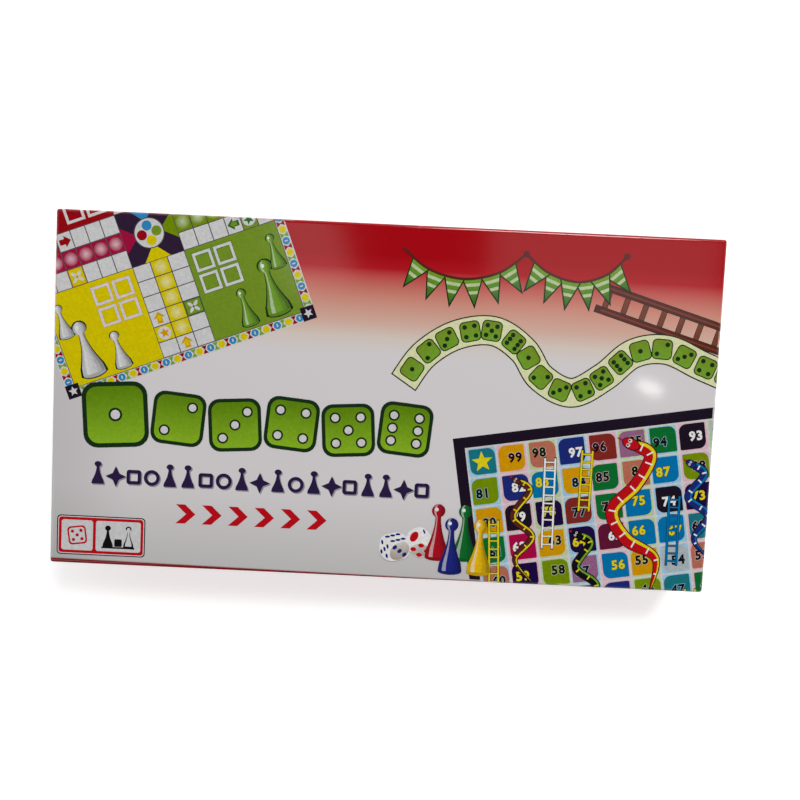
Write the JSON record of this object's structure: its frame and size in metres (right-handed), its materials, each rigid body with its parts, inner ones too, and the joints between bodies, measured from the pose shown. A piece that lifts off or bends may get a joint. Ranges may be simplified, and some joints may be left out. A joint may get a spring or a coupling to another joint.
{
  "type": "boxed snakes and ladders board game",
  "caption": "Flat lid-and-base game box holding a folding magnetic snakes-and-ladders and ludo board, a moulded tray, magnetic pawns and dice.",
  "frame": {"origin": "centre of the closed box's underside, on the surface it lies on", "axes": "+X along the long side of the printed face, to the right as the print is read; +Y up the printed face; +Z out of the printed face"},
  "size_m": [0.19, 0.1018, 0.0246],
  "materials": {
    "greyboard": "uncoated grey chipboard, matte",
    "box_paper": "printed art paper with gloss lamination, red at the top fading to light grey",
    "base_paper": "printed art paper with gloss lamination, plain red",
    "tray_plastic": "thin vacuum-formed sheet, satin",
    "board_plastic": "injection moulded, fine satin grain",
    "sheet_steel": "cold-rolled tinplate, satin",
    "board_print": "printed and laminated sheet, many colours",
    "pin_steel": "drawn steel wire",
    "die_plastic": "polished white plastic with painted pips",
    "pawn_red": "moulded, glossy",
    "pawn_blue": "moulded, glossy",
    "pawn_green": "moulded, glossy",
    "pawn_yellow": "moulded, glossy",
    "magnet_ferrite": "sintered ferrite disc, matte"
  },
  "bodies": {
    "base": {"base_board": "greyboard", "base_wrap": "base_paper", "insert_tray": "tray_plastic"},
    "lid": {"lid_board": "greyboard", "lid_wrap": "box_paper"},
    "lower_half": {"board_plate_lower": "board_plastic", "steel_snakes_lower": "sheet_steel", "snakes_sheet_lower": "board_print", "steel_ludo_lower": "sheet_steel", "ludo_sheet_lower": "board_print", "hinge_pin_left": "pin_steel", "hinge_pin_right": "pin_steel"},
    "upper_half": {"board_plate_upper": "board_plastic", "steel_snakes_upper": "sheet_steel", "snakes_sheet_upper": "board_print", "steel_ludo_upper": "sheet_steel", "ludo_sheet_upper": "board_print"},
    "left_die": {"die_left": "die_plastic"},
    "right_die": {"die_right": "die_plastic"},
    "red_1": {"pawn_red_1": "pawn_red", "magnet_red_1": "magnet_ferrite"},
    "red_2": {"pawn_red_2": "pawn_red", "magnet_red_2": "magnet_ferrite"},
    "red_3": {"pawn_red_3": "pawn_red", "magnet_red_3": "magnet_ferrite"},
    "red_4": {"pawn_red_4": "pawn_red", "magnet_red_4": "magnet_ferrite"},
    "blue_1": {"pawn_blue_1": "pawn_blue", "magnet_blue_1": "magnet_ferrite"},
    "blue_2": {"pawn_blue_2": "pawn_blue", "magnet_blue_2": "magnet_ferrite"},
    "blue_3": {"pawn_blue_3": "pawn_blue", "magnet_blue_3": "magnet_ferrite"},
    "blue_4": {"pawn_blue_4": "pawn_blue", "magnet_blue_4": "magnet_ferrite"},
    "green_1": {"pawn_green_1": "pawn_green", "magnet_green_1": "magnet_ferrite"},
    "green_2": {"pawn_green_2": "pawn_green", "magnet_green_2": "magnet_ferrite"},
    "green_3": {"pawn_green_3": "pawn_green", "magnet_green_3": "magnet_ferrite"},
    "green_4": {"pawn_green_4": "pawn_green", "magnet_green_4": "magnet_ferrite"},
    "yellow_1": {"pawn_yellow_1": "pawn_yellow", "magnet_yellow_1": "magnet_ferrite"},
    "yellow_2": {"pawn_yellow_2": "pawn_yellow", "magnet_yellow_2": "magnet_ferrite"},
    "yellow_3": {"pawn_yellow_3": "pawn_yellow", "magnet_yellow_3": "magnet_ferrite"},
    "yellow_4": {"pawn_yellow_4": "pawn_yellow", "magnet_yellow_4": "magnet_ferrite"}
  },
  "joints": [
    {"name": "lid_lift", "type": "slide", "parent": "base", "child": "lid", "axis": [0, 0, 1], "range_m": [0, 0.36]},
    {"name": "board_lift", "type": "slide", "parent": "base", "child": "lower_half", "axis": [0, 0, 1], "range_m": [0, 0.06]},
    {"name": "board_unfold", "type": "hinge", "parent": "lower_half", "child": "upper_half", "pos_m": [0, 0.0446, 0.01785], "axis": [-1, 0, 0], "range_deg": [0, 180]},
    {"name": "left_die_lift", "type": "slide", "parent": "base", "child": "left_die", "axis": [0, 0, 1], "range_m": [0, 0.03]},
    {"name": "right_die_lift", "type": "slide", "parent": "base", "child": "right_die", "axis": [0, 0, 1], "range_m": [0, 0.03]},
    {"name": "red_1_lift", "type": "slide", "parent": "base", "child": "red_1", "axis": [0, 0, 1], "range_m": [0, 0.03]},
    {"name": "red_2_lift", "type": "slide", "parent": "base", "child": "red_2", "axis": [0, 0, 1], "range_m": [0, 0.03]},
    {"name": "red_3_lift", "type": "slide", "parent": "base", "child": "red_3", "axis": [0, 0, 1], "range_m": [0, 0.03]},
    {"name": "red_4_lift", "type": "slide", "parent": "base", "child": "red_4", "axis": [0, 0, 1], "range_m": [0, 0.03]},
    {"name": "blue_1_lift", "type": "slide", "parent": "base", "child": "blue_1", "axis": [0, 0, 1], "range_m": [0, 0.03]},
    {"name": "blue_2_lift", "type": "slide", "parent": "base", "child": "blue_2", "axis": [0, 0, 1], "range_m": [0, 0.03]},
    {"name": "blue_3_lift", "type": "slide", "parent": "base", "child": "blue_3", "axis": [0, 0, 1], "range_m": [0, 0.03]},
    {"name": "blue_4_lift", "type": "slide", "parent": "base", "child": "blue_4", "axis": [0, 0, 1], "range_m": [0, 0.03]},
    {"name": "green_1_lift", "type": "slide", "parent": "base", "child": "green_1", "axis": [0, 0, 1], "range_m": [0, 0.03]},
    {"name": "green_2_lift", "type": "slide", "parent": "base", "child": "green_2", "axis": [0, 0, 1], "range_m": [0, 0.03]},
    {"name": "green_3_lift", "type": "slide", "parent": "base", "child": "green_3", "axis": [0, 0, 1], "range_m": [0, 0.03]},
    {"name": "green_4_lift", "type": "slide", "parent": "base", "child": "green_4", "axis": [0, 0, 1], "range_m": [0, 0.03]},
    {"name": "yellow_1_lift", "type": "slide", "parent": "base", "child": "yellow_1", "axis": [0, 0, 1], "range_m": [0, 0.03]},
    {"name": "yellow_2_lift", "type": "slide", "parent": "base", "child": "yellow_2", "axis": [0, 0, 1], "range_m": [0, 0.03]},
    {"name": "yellow_3_lift", "type": "slide", "parent": "base", "child": "yellow_3", "axis": [0, 0, 1], "range_m": [0, 0.03]},
    {"name": "yellow_4_lift", "type": "slide", "parent": "base", "child": "yellow_4", "axis": [0, 0, 1], "range_m": [0, 0.03]}
  ],
  "couplings": [
    {"joint": "board_lift", "follows": "lid_lift", "ratio": 0.16667},
    {"joint": "board_unfold", "follows": "lid_lift", "rad_per_m": 8.7266},
    {"joint": "left_die_lift", "follows": "lid_lift", "ratio": 0.083333},
    {"joint": "right_die_lift", "follows": "lid_lift", "ratio": 0.083333},
    {"joint": "red_1_lift", "follows": "lid_lift", "ratio": 0.083333},
    {"joint": "red_2_lift", "follows": "lid_lift", "ratio": 0.083333},
    {"joint": "red_3_lift", "follows": "lid_lift", "ratio": 0.083333},
    {"joint": "red_4_lift", "follows": "lid_lift", "ratio": 0.083333},
    {"joint": "blue_1_lift", "follows": "lid_lift", "ratio": 0.083333},
    {"joint": "blue_2_lift", "follows": "lid_lift", "ratio": 0.083333},
    {"joint": "blue_3_lift", "follows": "lid_lift", "ratio": 0.083333},
    {"joint": "blue_4_lift", "follows": "lid_lift", "ratio": 0.083333},
    {"joint": "green_1_lift", "follows": "lid_lift", "ratio": 0.083333},
    {"joint": "green_2_lift", "follows": "lid_lift", "ratio": 0.083333},
    {"joint": "green_3_lift", "follows": "lid_lift", "ratio": 0.083333},
    {"joint": "green_4_lift", "follows": "lid_lift", "ratio": 0.083333},
    {"joint": "yellow_1_lift", "follows": "lid_lift", "ratio": 0.083333},
    {"joint": "yellow_2_lift", "follows": "lid_lift", "ratio": 0.083333},
    {"joint": "yellow_3_lift", "follows": "lid_lift", "ratio": 0.083333},
    {"joint": "yellow_4_lift", "follows": "lid_lift", "ratio": 0.083333}
  ]
}
